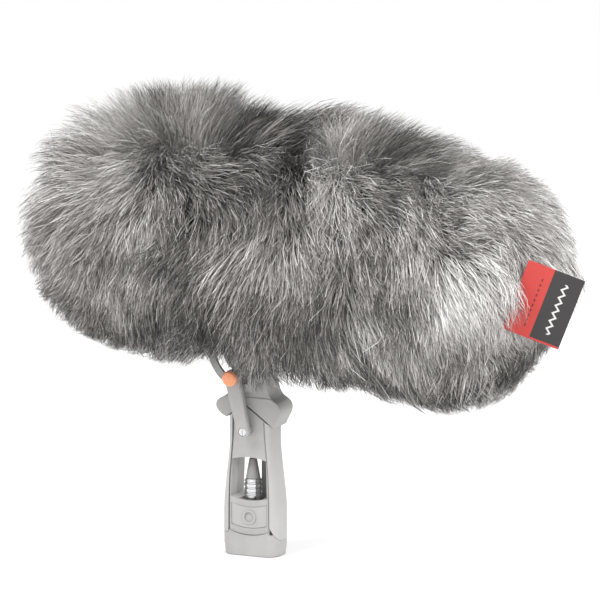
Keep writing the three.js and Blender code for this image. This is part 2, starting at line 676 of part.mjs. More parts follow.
function cradle(x) {
  const outer = MIC_RADIUS + 1.1;
  const shape = new THREE.Shape();
  const open = THREE.MathUtils.degToRad(52);
  shape.absarc(0, AXIS_HEIGHT, outer, open, Math.PI - open, true);
  shape.absarc(0, AXIS_HEIGHT, MIC_RADIUS - 0.9, Math.PI - open, open, false);
  shape.closePath();
  return plateYZ(shape, x - 5, x + 5);
}

const clips = {};
for (const [label, x] of CLIP_PLACES) {
  clips[label] = new THREE.Group();
  windscreen.add(clips[label]);
  piece(clips[label], `clip_saddle_${label}`, saddle(x), finish(CAGE_BLACK, 0.6));
  piece(clips[label], `lyre_${label}`, lyre(x), finish(CAGE_BLACK, 0.45));
  piece(clips[label], `mic_cradle_${label}`, cradle(x), finish(CAGE_BLACK, 0.8));
}

// Microphone tail: up through the stem, back along the bar to its plug.
piece(windscreen, 'mic_tail', cable([
  [0, 0, -11.5], [0, 0, 20], [0, 0, BAR_TOP + 3], [-3, 0.5, BAR_TOP + 10], [-12, 1.5, BAR_TOP + 14.5],
  [-26, 2.5, BAR_TOP + 15.8], [-38, 3, BAR_TOP + 16],
], 26, 12), finish(CABLE_GREY, 0.6));
piece(windscreen, 'mic_plug', turnedX([
  [0, -27], [5, -27], [6.8, -23], [6.8, -3], [4, 0], [0, 0],
], 20).translate(-38.5, 3, BAR_TOP + 16), finish(STEEL, 0.3, 1));

// ---- fur cover ----

function furOutline() {
  const profile = [];
  const steps = 20;
  for (let i = 0; i <= steps; i += 1) {
    const t = -Math.cos((Math.PI * i) / steps);
    const along = FUR_HALF_LENGTH * t;
    const round = (1 - Math.abs(t) ** FUR_ROUND) ** (1 / FUR_ROUND);
    const waist = 1 - WAIST_DEPTH * Math.exp(-(((along - WAIST_AT) / WAIST_WIDTH) ** 2));
    profile.push([FUR_SIDE * round * waist, along]);
  }
  profile[0][0] = 0;
  profile[steps][0] = 0;
  const geometry = turnedX(profile, 30);
  const place = geometry.attributes.position;
  for (let i = 0; i < place.count; i += 1) {
    const up = place.getZ(i);
    const reach = FUR_TOP - (FUR_TOP_FALL * place.getX(i)) / FUR_HALF_LENGTH;
    if (up > 0) place.setZ(i, (up * reach) / FUR_SIDE);
  }
  return geometry.translate(CAGE_MID, 0, AXIS_HEIGHT);
}

function furInside() {
  const profile = [[0, -FUR_INSIDE_LENGTH]];
  const steps = 4;
  const straight = FUR_INSIDE_LENGTH - 46;
  for (let i = 1; i <= steps; i += 1) {
    const a = (Math.PI / 2) * (i / steps);
    profile.push([FUR_INSIDE * Math.sin(a), -straight - 46 * Math.cos(a)]);
  }
  for (let i = steps; i >= 1; i -= 1) {
    const a = (Math.PI / 2) * (i / steps);
    profile.push([FUR_INSIDE * Math.sin(a), straight + 46 * Math.cos(a)]);
  }
  profile.push([0, FUR_INSIDE_LENGTH]);
  return turnedX(profile, 20).translate(CAGE_MID, 0, AXIS_HEIGHT);
}

// The cover is open underneath, in a wedge that the head swings through.
const MOUTH_TOP = 32;
const MOUTH_BOTTOM = 64;
const MOUTH_Y = 31;
const furMouth = plateXZ(outline([
  [-MOUTH_TOP, FLOOR + 6], [-MOUTH_TOP, 4], [-MOUTH_BOTTOM, -32],
  [MOUTH_BOTTOM, -32], [MOUTH_TOP, 4], [MOUTH_TOP, FLOOR + 6],
]), -MOUTH_Y, MOUTH_Y);

// The zip runs back from the mouth, in a groove on the underside.
const ZIP_START = -68;
const ZIP_END = -160;
const zipGroove = box(ZIP_END - 2, ZIP_START + 20, -9, 9, -60, FLOOR - 11);
piece(windscreen, 'zip_tape', box(ZIP_END, ZIP_START, -7, 7, FLOOR - 13.5, FLOOR - 11.3), finish(LINING, 0.9));
const slider = new THREE.Group();
windscreen.add(slider);
piece(slider, 'zip_slider', box(ZIP_START - 10, ZIP_START - 1, -4, 4, FLOOR - 17.5, FLOOR - 13.8),
  finish(STEEL, 0.35, 0.9));
piece(slider, 'zip_pull', box(ZIP_START - 26, ZIP_START - 6, -2.5, 2.5, FLOOR - 19.6, FLOOR - 17.8),
  finish(STEEL, 0.35, 0.9));

// Woven tag: one edge is sewn into the seam of the nose, so the pile has a slit round it.
const TAG_WIDTH = 46;
const TAG_HEIGHT = 57;
const TAG_THICK = 1.6;

function tagSheet(extra) {
  const [x, y, z] = [TAG_WIDTH, TAG_THICK, TAG_HEIGHT].map((size) => size / 2 + extra);
  return box(-x, x, -y, y, -z, z)
    .rotateY(THREE.MathUtils.degToRad(18))
    .rotateZ(THREE.MathUtils.degToRad(20))
    .translate(CAGE_MID + 225, -52, AXIS_HEIGHT - 4);
}

piece(windscreen, 'woven_tag', tagSheet(0), finish(TAG_RED, 0.8));
piece(windscreen, 'fur_cover',
  cut(furOutline(), furInside(), furMouth, zipGroove, tagSheet(0.6)), finish(FUR_GREY, 1));

const model = new THREE.Group();
model.add(grip);
model.add(windscreen);

export default model;
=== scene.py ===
"""The looks of a furry windscreen on a pistol grip: a long-haired cover, its tag, and the grip."""

import json
import math

import bmesh
import bpy
import numpy as np
from mathutils import Matrix, Vector


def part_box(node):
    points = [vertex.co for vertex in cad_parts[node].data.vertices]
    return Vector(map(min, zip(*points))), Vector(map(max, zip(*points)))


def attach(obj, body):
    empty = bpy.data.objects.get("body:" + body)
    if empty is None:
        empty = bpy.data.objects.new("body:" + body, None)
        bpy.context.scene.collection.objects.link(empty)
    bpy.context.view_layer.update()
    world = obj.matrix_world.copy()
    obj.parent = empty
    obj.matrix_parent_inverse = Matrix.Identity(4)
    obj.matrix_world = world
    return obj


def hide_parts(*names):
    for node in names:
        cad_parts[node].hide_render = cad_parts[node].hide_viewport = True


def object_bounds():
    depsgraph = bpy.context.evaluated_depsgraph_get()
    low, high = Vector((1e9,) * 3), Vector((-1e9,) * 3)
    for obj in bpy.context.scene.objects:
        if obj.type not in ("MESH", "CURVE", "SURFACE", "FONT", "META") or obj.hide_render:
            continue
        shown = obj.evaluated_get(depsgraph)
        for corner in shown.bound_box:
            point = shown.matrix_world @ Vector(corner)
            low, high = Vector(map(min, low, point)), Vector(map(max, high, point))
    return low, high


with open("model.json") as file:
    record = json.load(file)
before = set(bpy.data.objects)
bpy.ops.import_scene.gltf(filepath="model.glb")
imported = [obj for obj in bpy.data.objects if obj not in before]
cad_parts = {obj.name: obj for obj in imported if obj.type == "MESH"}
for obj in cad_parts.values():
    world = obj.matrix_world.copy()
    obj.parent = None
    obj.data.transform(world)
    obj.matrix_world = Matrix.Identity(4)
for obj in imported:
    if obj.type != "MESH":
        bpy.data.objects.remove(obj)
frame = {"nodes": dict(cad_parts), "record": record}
CAD_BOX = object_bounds()

# ---- the windscreen's own frame, in metres: x along the cage, z across it, from the tilt axis ----

joints = {joint["name"]: joint for joint in frame["record"]["behaviour"]["joints"]}
PIVOT = Vector(joints["tilt"]["pos_m"])
ALONG = Vector(joints["clip_front_slide"]["axis"])
ACROSS = Vector((-ALONG.z, 0, ALONG.x))
TO_ROW = np.array([ALONG, (0, 1, 0), ACROSS])     # a point's local x, y and z times these rows


def to_row(points):
    """Local points as points of the row frame."""
    return points @ TO_ROW + np.array(PIVOT)


def to_local(point):
    """A point of the row frame as a local point."""
    return TO_ROW @ (np.array(point) - np.array(PIVOT))


cage_low, cage_high = (to_local(corner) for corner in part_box("cage_tube"))
CAGE_MIDDLE = np.array([(cage_low[0] + cage_high[0]) / 2, 0, (cage_low[2] + cage_high[2]) / 2])
fur_low, fur_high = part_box("fur_cover")
PILE_SIDE = fur_high.y                     # how far the pile stands out at the sides, from the axis
PILE_TOP = PILE_SIDE + 0.025               # and on top
PILE_HALF_LENGTH = (fur_high.x - fur_low.x) / 2


# ---- camera ----

def make_camera():
    """A long lens from the right, a little above, as in the photograph."""
    azimuth, elevation = math.radians(24), math.radians(10)
    distance, lens = 4.2, 315
    aim_right, aim_up = 0.0355, 0.2016
    back = Vector((math.sin(azimuth) * math.cos(elevation),
                   -math.cos(azimuth) * math.cos(elevation), math.sin(elevation)))
    right = Vector((math.cos(azimuth), math.sin(azimuth), 0))
    up = back.cross(right)
    target = right * aim_right + up * aim_up
    data = bpy.data.cameras.new("camera")
    data.lens = lens
    data.sensor_width = 36
    data.clip_start = 0.05
    data.clip_end = 60
    camera = bpy.data.objects.new("camera", data)
    bpy.context.collection.objects.link(camera)
    camera.location = target + back * distance
    camera.rotation_euler = (-back).to_track_quat("-Z", "Y").to_euler()
    bpy.context.scene.camera = camera


make_camera()


# ---- materials ----

def new_material(name, colour, roughness, metallic=0.0):
    """A plain material and its shader node."""
    material = bpy.data.materials.new(name)
    material.use_nodes = True
    shader = material.node_tree.nodes["Principled BSDF"]
    shader.inputs["Base Color"].default_value = (*colour, 1)
    shader.inputs["Roughness"].default_value = roughness
    shader.inputs["Metallic"].default_value = metallic
    return material, shader


def grey(tone):
    """A grey of that linear lightness, a little warm."""
    return (tone * 1.005, tone * 0.995, tone * 0.98)


def noise(material, scale, detail=4.0, roughness=0.6):
    """A noise texture over the object's own coordinates, with scale in features per metre."""
    nodes, links = material.node_tree.nodes, material.node_tree.links
    place = nodes.new("ShaderNodeTexCoord")
    texture = nodes.new("ShaderNodeTexNoise")
    texture.inputs["Scale"].default_value = scale
    texture.inputs["Detail"].default_value = detail
    texture.inputs["Roughness"].default_value = roughness
    links.new(place.outputs["Object"], texture.inputs["Vector"])
    return texture


def ramp(material, source, low, high, start=0.3, end=0.7):
    """The source's value turned into a colour between low and high."""
    node = material.node_tree.nodes.new("ShaderNodeValToRGB")
    node.color_ramp.elements[0].position = start
    node.color_ramp.elements[0].color = (*low, 1)
    node.color_ramp.elements[1].position = end
    node.color_ramp.elements[1].color = (*high, 1)
    material.node_tree.links.new(source, node.inputs["Fac"])
    return node.outputs["Color"]


def spread(material, source, low, high):
    """The source's value from 0 to 1 turned into one from low to high."""
    node = material.node_tree.nodes.new("ShaderNodeMapRange")
    node.inputs["To Min"].default_value = low
    node.inputs["To Max"].default_value = high
    material.node_tree.links.new(source, node.inputs["Value"])
    return node.outputs["Result"]


def bump(material, shader, source, height, strength=0.6):
    """The source's value as relief of that height, in metres."""
    node = material.node_tree.nodes.new("ShaderNodeBump")
    node.inputs["Distance"].default_value = height
    node.inputs["Strength"].default_value = strength
    material.node_tree.links.new(source, node.inputs["Height"])
    material.node_tree.links.new(node.outputs["Normal"], shader.inputs["Normal"])


def moulded(name, tone, roughness, grain=900, depth=0.00006, worn=0.06):
    """Moulded plastic or rubber: a fine spark-eroded grain over slow changes of tone."""
    uneven = 0.08
    material, shader = new_material(name, grey(tone), roughness)
    slow = noise(material, 35)
    fine = noise(material, grain, 3)
    links = material.node_tree.links
    links.new(ramp(material, slow.outputs["Fac"], grey(tone - worn / 2), grey(tone + worn / 2)),
              shader.inputs["Base Color"])
    links.new(spread(material, slow.outputs["Fac"], roughness - uneven, roughness + uneven),
              shader.inputs["Roughness"])
    bump(material, shader, fine.outputs["Fac"], depth)
    return material


def metal(name, colour, roughness, grain=250):
    """Machined metal with fine marks and uneven polish."""
    material, shader = new_material(name, colour, roughness, 1.0)
    marks = noise(material, grain, 5)
    material.node_tree.links.new(
        spread(material, marks.outputs["Fac"], roughness * 0.6, roughness * 1.5),
        shader.inputs["Roughness"])
    bump(material, shader, marks.outputs["Fac"], 0.00003, 0.3)
    return material


SHELL = moulded("grip_shell", 0.34, 0.48)
SOFT = moulded("grip_rubber", 0.40, 0.75, 1600, 0.00009, 0.04)
PLATE = moulded("badge_plate", 0.36, 0.36, 700, 0.00002, 0.03)
CAGE = moulded("cage_plastic", 0.035, 0.5, 800, 0.00005, 0.01)
JACKET = moulded("cable_jacket", 0.25, 0.55, 1200, 0.00003, 0.04)
CHROME = metal("connector_chrome", (0.62, 0.62, 0.63), 0.16, 500)
STEEL = metal("steel", (0.60, 0.60, 0.61), 0.28)
BAR = metal("bar_aluminium", (0.45, 0.45, 0.46), 0.42, 900)
BRASS = metal("insert_brass", (0.62, 0.47, 0.22), 0.3)


def orange_material():
    """The knob's orange plastic."""
    material, shader = new_material("knob_orange", (0.87, 0.33, 0.16), 0.32)
    slow = noise(material, 120)
    links = material.node_tree.links
    links.new(ramp(material, slow.outputs["Fac"], (0.80, 0.27, 0.12), (0.92, 0.40, 0.21)),
              shader.inputs["Base Color"])
    bump(material, shader, noise(material, 2500, 2).outputs["Fac"], 0.00003)
    return material


ORANGE = orange_material()


# ---- pieces that keep their CAD shape ----

SHARP_DEGREES = 38             # edges sharper than this are softened


def dress(node, material, edge):
    """Gives a CAD node its material and edges softened by that width, in metres."""
    obj = frame["nodes"][node]
    mesh = obj.data
    mesh.polygons.foreach_set("use_smooth", [True] * len(mesh.polygons))
    if edge:
        bevel = obj.modifiers.new("edges", "BEVEL")
        bevel.width = edge
        bevel.segments = 2
        bevel.limit_method = "ANGLE"
        bevel.angle_limit = math.radians(SHARP_DEGREES)
        bevel.harden_normals = True
        bevel.use_clamp_overlap = True
    if not obj.material_slots:
        mesh.materials.append(material)
    for place in obj.material_slots:
        place.material = material


# material, width of the softened edges in metres, and the nodes
FINISHES = [
    (SHELL, 0.0006, ["grip_frame_right", "grip_frame_left", "grip_head", "base_block", "lock_lever",
                     "tilt_quadrant"]),
    (SOFT, 0.0006, ["grip_pad_front", "grip_pad_rear"]),
    (PLATE, 0.0003, ["badge_plate_right", "badge_plate_left"]),
    (ORANGE, 0.0005, ["lock_knob"]),
    (BRASS, 0.0002, ["base_insert"]),
    (JACKET, 0.0, ["grip_cable", "mic_tail"]),
    (JACKET, 0.0003, ["connector_boot"]),
    (CHROME, 0.0003, ["connector_shell", "connector_collar", "mic_plug"]),
    (STEEL, 0.0002, ["grip_screw_1", "grip_screw_2", "grip_screw_3", "grip_screw_4", "lever_screw",
                     "lever_spacer", "pivot_bolt_right", "pivot_bolt_left", "bar_screw_rear",
                     "bar_screw_front", "zip_slider", "zip_pull"]),
    (BAR, 0.0004, ["suspension_bar"]),
    (CAGE, 0.0003, ["tilt_stem", "cage_tube", "cage_ring_rear", "cage_ring_front", "front_cap",
                    "rear_cap", "clip_saddle_rear", "clip_saddle_front", "lyre_rear", "lyre_front",
                    "mic_cradle_rear", "mic_cradle_front"]),
    (CAGE, 0.0, ["zip_tape"]),
]
for finish, edge_width, nodes in FINISHES:
    for node_name in nodes:
        dress(node_name, finish, edge_width)


# ---- the cover's fabric, and where hair grows on it ----

SKIN_RADIUS = 0.0565
SKIN_STRAIGHT = 0.146          # half the length of its straight part
SKIN_DOME = 0.047              # how far each end bulges
SKIN_HALF = SKIN_STRAIGHT + SKIN_DOME
MOUTH_HALF = (0.035, 0.034)    # the hole underneath, along and across
HAIR_LENGTH = 0.082
STRETCHES = np.array([0.34, 0.16, 0.16, 0.17, 0.17])    # of a strand's length, from its root
WAIST_X = 0.010                # where the cover is drawn in, round the tilting head
WHORLS = np.array([[-0.074, 5.0], [0.074, 13.0]])    # place along, and degrees from the top


def skin_profile(steps=24):
    """The fabric's radius along the axis, with the length of the way along it."""
    turn = np.linspace(0, math.pi / 2, steps)
    rear = np.stack([-SKIN_STRAIGHT - SKIN_DOME * np.cos(turn), SKIN_RADIUS * np.sin(turn)], 1)
    middle = np.stack([np.linspace(-SKIN_STRAIGHT, SKIN_STRAIGHT, 60),
                       np.full(60, SKIN_RADIUS)], 1)[1:-1]
    front = (rear * [-1, 1])[::-1]
    profile = np.concatenate([rear, middle, front])
    step = np.linalg.norm(np.diff(profile, axis=0), axis=1)
    return profile, np.concatenate([[0], np.cumsum(step)])


PROFILE, WAY = skin_profile()


def on_skin(way, around):
    """Points on the fabric with their normals. around is 0 at the top and grows towards -Y."""
    x = np.interp(way, WAY, PROFILE[:, 0])
    radius = np.interp(way, WAY, PROFILE[:, 1])
    slope = np.gradient(PROFILE, WAY, axis=0)
    along = np.interp(way, WAY, slope[:, 0])
    out = np.interp(way, WAY, slope[:, 1])
    ring = np.stack([np.zeros_like(around), -np.sin(around), np.cos(around)], 1)
    point = ring * radius[:, None] + np.stack([x, 0 * x, 0 * x], 1) + CAGE_MIDDLE
    normal = ring * along[:, None]
    normal[:, 0] = -out
    return point, normal / np.linalg.norm(normal, axis=1)[:, None], radius


def unit(vectors):
    """Vectors of length one."""
    return vectors / np.maximum(np.linalg.norm(vectors, axis=-1, keepdims=True), 1e-9)


def smooth_step(value, low, high):
    """0 below low, 1 above high, with a smooth rise between them."""
    t = np.clip((value - low) / (high - low), 0, 1)
    return t * t * (3 - 2 * t)


def bell(distance, width):
    """1 at no distance, falling off over about that width."""
    return np.exp(-(distance / width) ** 2)


def drift(points, wave, seed):
    """A slow, smooth change over space, about -1 to 1, repeating at roughly that wavelength."""
    source = np.random.default_rng(seed)
    total = np.zeros(len(points))
    for _ in range(6):
        way = unit(source.normal(size=3)) * 2 * math.pi / wave * source.uniform(0.7, 1.5)
        total += np.sin(points @ way + source.uniform(0, 2 * math.pi))
    usual_peak = 2.4
    return total / usual_peak


WHORL_PLACES = np.stack([
    WHORLS[:, 0],
    -SKIN_RADIUS * np.sin(np.radians(WHORLS[:, 1])),
    CAGE_MIDDLE[2] + SKIN_RADIUS * np.cos(np.radians(WHORLS[:, 1])),
], 1)
MOUTH = np.array([0, 0, CAGE_MIDDLE[2] - SKIN_RADIUS])
FOLD = np.array([0.062, -0.034, CAGE_MIDDLE[2] - 0.045])      # a hollow in the pile, darkened with painted shade

# How strongly the hair is drawn each way. The pulls are relative to one another.
GRAVITY = 1.2
WHORL_PULL, WHORL_REACH = 1.5, 0.07
TOP_PULL = 0.9                 # towards the nose, along the top, ahead of the rear whorl
NOSE_PULL, REAR_PULL = 0.9, -0.6
MOUTH_PULL, MOUTH_RIM, MOUTH_REACH = 0.9, 0.03, 0.03
SWINGS = [(0.38, 0.11, 3), (0.36, 0.035, 4), (0.14, 0.015, 5)]    # radians, wavelength, seed


def growth(point, normal):
    """Which way hair leans: out from two whorls, down with gravity, and clear of the mouth."""
    lean = np.tile([0.0, 0.0, -GRAVITY], (len(point), 1))
    nearest = np.full(len(point), 1.0)
    for whorl in WHORL_PLACES:
        away = point - whorl
        far = np.linalg.norm(away, axis=1)
        lean += unit(away) * np.exp(-far / WHORL_REACH)[:, None] * WHORL_PULL
        nearest = np.minimum(nearest, far)
    top = smooth_step(normal[:, 2], 0.25, 0.85)
    lean[:, 0] += TOP_PULL * top * smooth_step(point[:, 0], -0.075, -0.03)
    end = (point[:, 0] - CAGE_MIDDLE[0]) / SKIN_HALF
    lean[:, 0] += np.where(end > 0, NOSE_PULL, REAR_PULL) * smooth_step(np.abs(end), 0.35, 1.0)
    away = point - MOUTH
    far = np.linalg.norm(away, axis=1)
    past_rim = ((far - MOUTH_RIM) / MOUTH_REACH).clip(0)
    lean += unit(away) * np.exp(-past_rim)[:, None] * MOUTH_PULL
    lean -= normal * np.sum(lean * normal, 1)[:, None]
    lean = unit(lean)
    side = np.cross(normal, lean)
    swing = sum(amount * drift(point, wave, seed) for amount, wave, seed in SWINGS)
    return unit(lean * np.cos(swing)[:, None] + side * np.sin(swing)[:, None]), nearest


# The outline of the pile, in metres, as seen in the photograph.
WAIST_WIDTH = 0.024
CREST_X, CREST_WIDTH, CREST_RISE = -0.078, 0.060, 0.011
TOP_DROP = 0.004               # the outline's top, below PILE_TOP
NOSE_DROP = 0.006              # and how much lower it is at the nose


def outline(points):
    """How far out points are: 1 on the outline of the pile."""
    x, y, z = np.moveaxis(points - CAGE_MIDDLE, -1, 0)
    upper = smooth_step(z, -0.06, 0.03)
    nose = smooth_step(x, 0.02, 0.12)
    waist = 1 + (0.10 - 0.20 * upper) * bell(points[..., 0] - WAIST_X, WAIST_WIDTH)
    crest = CREST_RISE * bell(x - CREST_X, CREST_WIDTH)
    top = PILE_TOP - TOP_DROP + crest - NOSE_DROP * smooth_step(x, 0.0, 0.20)
    belly = PILE_SIDE * (0.95 + 0.10 * smooth_step(x, 0.07, 0.14))
    across = np.hypot(y / PILE_SIDE, z / np.where(z > 0, top, belly)) / waist
    # how much shorter the nose is underneath, on top and on the far side
    tuck = 1 - nose * (0.21 * smooth_step(-z, 0.01, 0.08) + 0.22 * smooth_step(z, -0.01, 0.08)
                       + 0.20 * smooth_step(y, 0.01, 0.09))
    along = np.abs(x / PILE_HALF_LENGTH) / tuck
    # how square the corners are between side and end: 2 would be an ellipse
    square = 2.7 + 1.3 * (1 - nose) * upper + 0.4 * nose * upper + 1.8 * nose * (1 - upper)
    return (along ** square + across ** square) ** (1 / square)


def hairs(point, normal, lean, length, start, finish, droop):
    """Each strand's points, bending over from start degrees off the normal to finish degrees."""
    early = 0.6                    # below 1, a strand bends more near its root
    path = [point]
    for k, stretch in enumerate(STRETCHES):
        u = k / (len(STRETCHES) - 1)
        angle = np.radians(start + (finish - start) * u ** early)[:, None]
        way = normal * np.cos(angle) + lean * np.sin(angle)
        way[:, 2] -= droop * u
        path.append(path[-1] + unit(way) * (length * stretch)[:, None])
    return np.stack(path, 1)


def reined_in(path, limit):
    """Strands pulled back towards their roots until they are within the outline."""
    steps, shrink = 16, 0.965
    root = path[:, :1]
    for _ in range(steps):
        over = outline(path[:, 2:]).max(1) > limit
        path[over] = root[over] + (path[over] - root[over]) * shrink
    return path


def crown_share(point):
    """From 0 to 1, how near points are to the crest of the cover, where the hair parts."""
    parting, width = 0.30, 0.42    # radians round from the top
    around = np.arctan2(-point[:, 1], point[:, 2] - CAGE_MIDDLE[2])
    ends = smooth_step(point[:, 0], -0.15, -0.10) * smooth_step(-point[:, 0], -0.14, -0.09)
    return ends * bell(around - parting, width)


# How many tones lighter (painted light) or darker (painted shade, and darker on top) the pile is at
# each place.
NOSE_PAINTED_LIGHT, CROWN_PAINTED_LIGHT, WHORL_PAINTED_LIGHTS = 2.6, 0.9, (1.4, 3.0)
WAIST_PAINTED_SHADE, TOP_DARK, UNDER_PAINTED_SHADE, FOLD_PAINTED_SHADE = 2.6, 0.3, 1.5, 3.4
OVERALL_LIGHT = 0.1
WAIST_SHADE_BEHIND = 0.014      # metres from the waist itself to where its painted shade is darkest


def painted_light_and_shade(point):
    """Painted shade at the waist, underneath and in the fold, painted light at the nose, crown and
    whorls.
    """
    waist = bell(point[:, 0] - WAIST_X + WAIST_SHADE_BEHIND, 0.030)
    nose = smooth_step(point[:, 0], 0.10, 0.20)
    under = smooth_step(CAGE_MIDDLE[2] - point[:, 2], -0.01, 0.05)
    fold = bell(np.linalg.norm(point - FOLD, axis=1), 0.026)
    light = NOSE_PAINTED_LIGHT * nose + CROWN_PAINTED_LIGHT * crown_share(point)
    for whorl, amount in zip(WHORL_PLACES, WHORL_PAINTED_LIGHTS):
        light += amount * bell(np.linalg.norm(point - whorl, axis=1), 0.024)
    top = smooth_step(point[:, 2] - CAGE_MIDDLE[2], 0.03, 0.055)
    upper = light - WAIST_PAINTED_SHADE * waist - TOP_DARK * top
    return upper * (1 - under) - UNDER_PAINTED_SHADE * under - FOLD_PAINTED_SHADE * fold + OVERALL_LIGHT


def waves(source, path, normal, bend):
    """Each strand's own gentle wave, sideways and outwards."""
    height, turns = 0.0038, 7.5    # metres, and radians from root to tip
    count, points = path.shape[:2]
    phase = source.uniform(0, 2 * math.pi, (count, 1)) + np.linspace(0, turns, points)
    size = height * source.normal(0, 1, (count, 1, 1))
    side = unit(np.cross(path[:, -1] - path[:, 0], normal))[:, None]
    return size * bend * (side * np.sin(phase)[..., None]
                          + 0.5 * normal[:, None] * np.cos(phase)[..., None])


# Angles off the fabric's normal, in degrees, of a strand's root (START) and tip (FINISH).
START, START_SPREAD = 10, 7
START_FLAT = 8                 # away from the whorls
START_TOP = 34                 # less, near the top, so that hair falls both ways from it
START_CORNER = 16              # less, at the upper corner of the rear end
FINISH, FINISH_SPREAD = 89, 8
FINISH_TOP = 8                 # less, on the upper half
FINISH_WHORL = 16              # less, at the whorls
FINISH_CREST, FINISH_CREST_REAR, FINISH_CREST_FRONT = 8, 38, 18    # less, on the crest
FINISH_CORNER = 34             # less, at the upper corner of the rear end
CREST_REAR_X, CREST_REAR_WIDTH = -0.045, 0.050
CREST_FRONT_X, CREST_FRONT_WIDTH = 0.095, 0.030
DROOP = 0.22                   # how much a strand's tip sags


def strands(source, way, around, jitter, length):
    """Strands from those places on the fabric, with their normals. jitter is in radians."""
    point, normal, _ = on_skin(way, around)
    lean, near = growth(point, normal)
    astray = jitter + 0.9 * bell(near, 0.016)
    turn = (astray * source.normal(0, 1, len(point)))[:, None]
    lean = unit(lean * np.cos(turn) + np.cross(normal, lean) * np.sin(turn))
    up = normal[:, 2]
    top = smooth_step(up, 0.2, 0.95)
    flat = smooth_step(near, 0.0, 0.045)
    start = source.normal(START, START_SPREAD, len(point)) + START_FLAT * flat
    start -= START_TOP * smooth_step(up, 0.35, 0.85)
    rear = FINISH_CREST_REAR * bell(point[:, 0] - CREST_REAR_X, CREST_REAR_WIDTH)
    front = FINISH_CREST_FRONT * bell(point[:, 0] - CREST_FRONT_X, CREST_FRONT_WIDTH)
    crest = (FINISH_CREST + rear + front) * smooth_step(up, 0.78, 0.98)
    finish = FINISH - FINISH_TOP * top - crest - FINISH_WHORL * (1 - flat)
    corner = smooth_step(-point[:, 0], 0.06, 0.13) * smooth_step(up, 0.45, 0.75)
    start -= START_CORNER * corner
    finish += source.normal(0, FINISH_SPREAD, len(point)) - FINISH_CORNER * corner
    return hairs(point, normal, lean, length, start, finish, DROOP * (1 - top)), normal


CLUMP_SPREAD = 0.0040          # how far strands root from the middle of their clump
CLUMP_JITTER, STRAND_JITTER = 0.20, 0.17
TUFTS, FINE_TUFTS, LOWER_TUFTS = 0.045, 0.03, 0.9    # how uneven the clumps' reach is
RAGGED = 0.025                 # and the strands'
REACH, REACH_LEAST, REACH_MOST, REACH_LOWER = 0.985, 0.8, 1.045, 0.06    # 1 is the outline


def grow(source, clumps, per_clump):
    """Strand paths in local coordinates with their normals, and each one's tone and crown share."""
    area = PROFILE[:, 1] + 0.004
    share = np.concatenate([[0], np.cumsum((area[1:] + area[:-1]) / 2 * np.diff(WAY))])
    way = np.interp(source.uniform(0, share[-1], clumps), share, WAY)
    around = source.uniform(-math.pi, math.pi, clumps)
    point, normal, radius = on_skin(way, around)
    # each clump's tone: random, plus the painted light and shade of its place
    tone = source.normal(0, 0.6, clumps) + 1.5 * drift(point, 0.05, 8) + painted_light_and_shade(point)
    crown = crown_share(point)
    tufts = TUFTS * source.normal(0, 1, clumps).clip(-1.6, 1.6)
    tufts += FINE_TUFTS * drift(point, 0.018, 9)
    lower = smooth_step(CAGE_MIDDLE[2] - point[:, 2], 0.0, 0.04)
    limit = REACH + tufts * (1 + LOWER_TUFTS * lower)
    clump_length = HAIR_LENGTH * source.uniform(0.88, 1.1, clumps)
    clump_length *= 1 + 0.10 * smooth_step(normal[:, 2], 0.2, 0.95)
    clump_path, _ = strands(source, way, around, CLUMP_JITTER, clump_length)

    member = np.repeat(np.arange(clumps), per_clump)
    count = len(member)
    offset = source.normal(0, CLUMP_SPREAD, (count, 2))
    strand_way = np.clip(way[member] + offset[:, 0], WAY[0], WAY[-1])
    strand_around = around[member] + offset[:, 1] / np.maximum(radius[member], 0.012)
    shorter = (0.36 + 0.25 * crown[member]) * source.uniform(0, 1, count) ** 1.5
    length = clump_length[member] * (1.06 - shorter)
    path, normal = strands(source, strand_way, strand_around, STRAND_JITTER, length)
    pull = (source.uniform(0.1, 0.75, count) + 0.15 * lower[member])[:, None, None]
    bend = (np.concatenate([[0], np.cumsum(STRETCHES)]) ** 1.6)[None, :, None]
    path += (clump_path[member] - path) * pull * bend
    path += waves(source, path, normal, bend)
    ragged = limit[member] + RAGGED * source.normal(0, 1, count).clip(-2, 1.2)
    path = reined_in(path, np.clip(ragged, REACH_LEAST, REACH_MOST + REACH_LOWER * lower[member]))
    return path, normal, tone[member], crown[member]


HEAD_HALF = (0.020, 0.026)     # the grip's head in the mouth, along and across
HEAD_SWING, HEAD_DEPTH = 0.022, 0.045    # the room it gains along, over that depth, as it tilts
KNOB_X, KNOB_HALF, KNOB_TOP = -0.016, 0.020, -0.010    # the column of the lever and its knob


def clear_of_mouth(path):
    """Which strands keep out of the hole that the head of the grip comes through."""
    x, y = path[..., 0], path[..., 1]
    z = path[..., 2] - CAGE_MIDDLE[2]
    below = z < 0
    in_hole = (np.abs(x) < MOUTH_HALF[0] + 0.002) & (np.abs(y) < MOUTH_HALF[1]) & below
    depth = np.clip(-(z + SKIN_RADIUS) / HEAD_DEPTH, 0, 1)
    head = (np.abs(x) < HEAD_HALF[0] + HEAD_SWING * depth) & (np.abs(y) < HEAD_HALF[1]) & below
    knob = (np.abs(x - KNOB_X) < KNOB_HALF) & (y < 0) & (path[..., 2] < KNOB_TOP)
    return ~in_hole[:, 0] & ~head.any(1) & ~knob.any(1)


def zip_space(margin=0.001):
    """The box that the zip's slider and pull sweep on their run, in local coordinates."""
    corners = [corner.co[:] for name in ("zip_slider", "zip_pull")
               for corner in frame["nodes"][name].data.vertices]
    local = (np.array(corners) - np.array(PIVOT)) @ TO_ROW.T
    run = TO_ROW @ np.array(joints["zip_run"]["axis"]) * joints["zip_run"]["range_m"][1]
    swept = np.concatenate([local, local + run])
    return swept.min(0) - margin, swept.max(0) + margin


ZIP_LOW, ZIP_HIGH = zip_space()


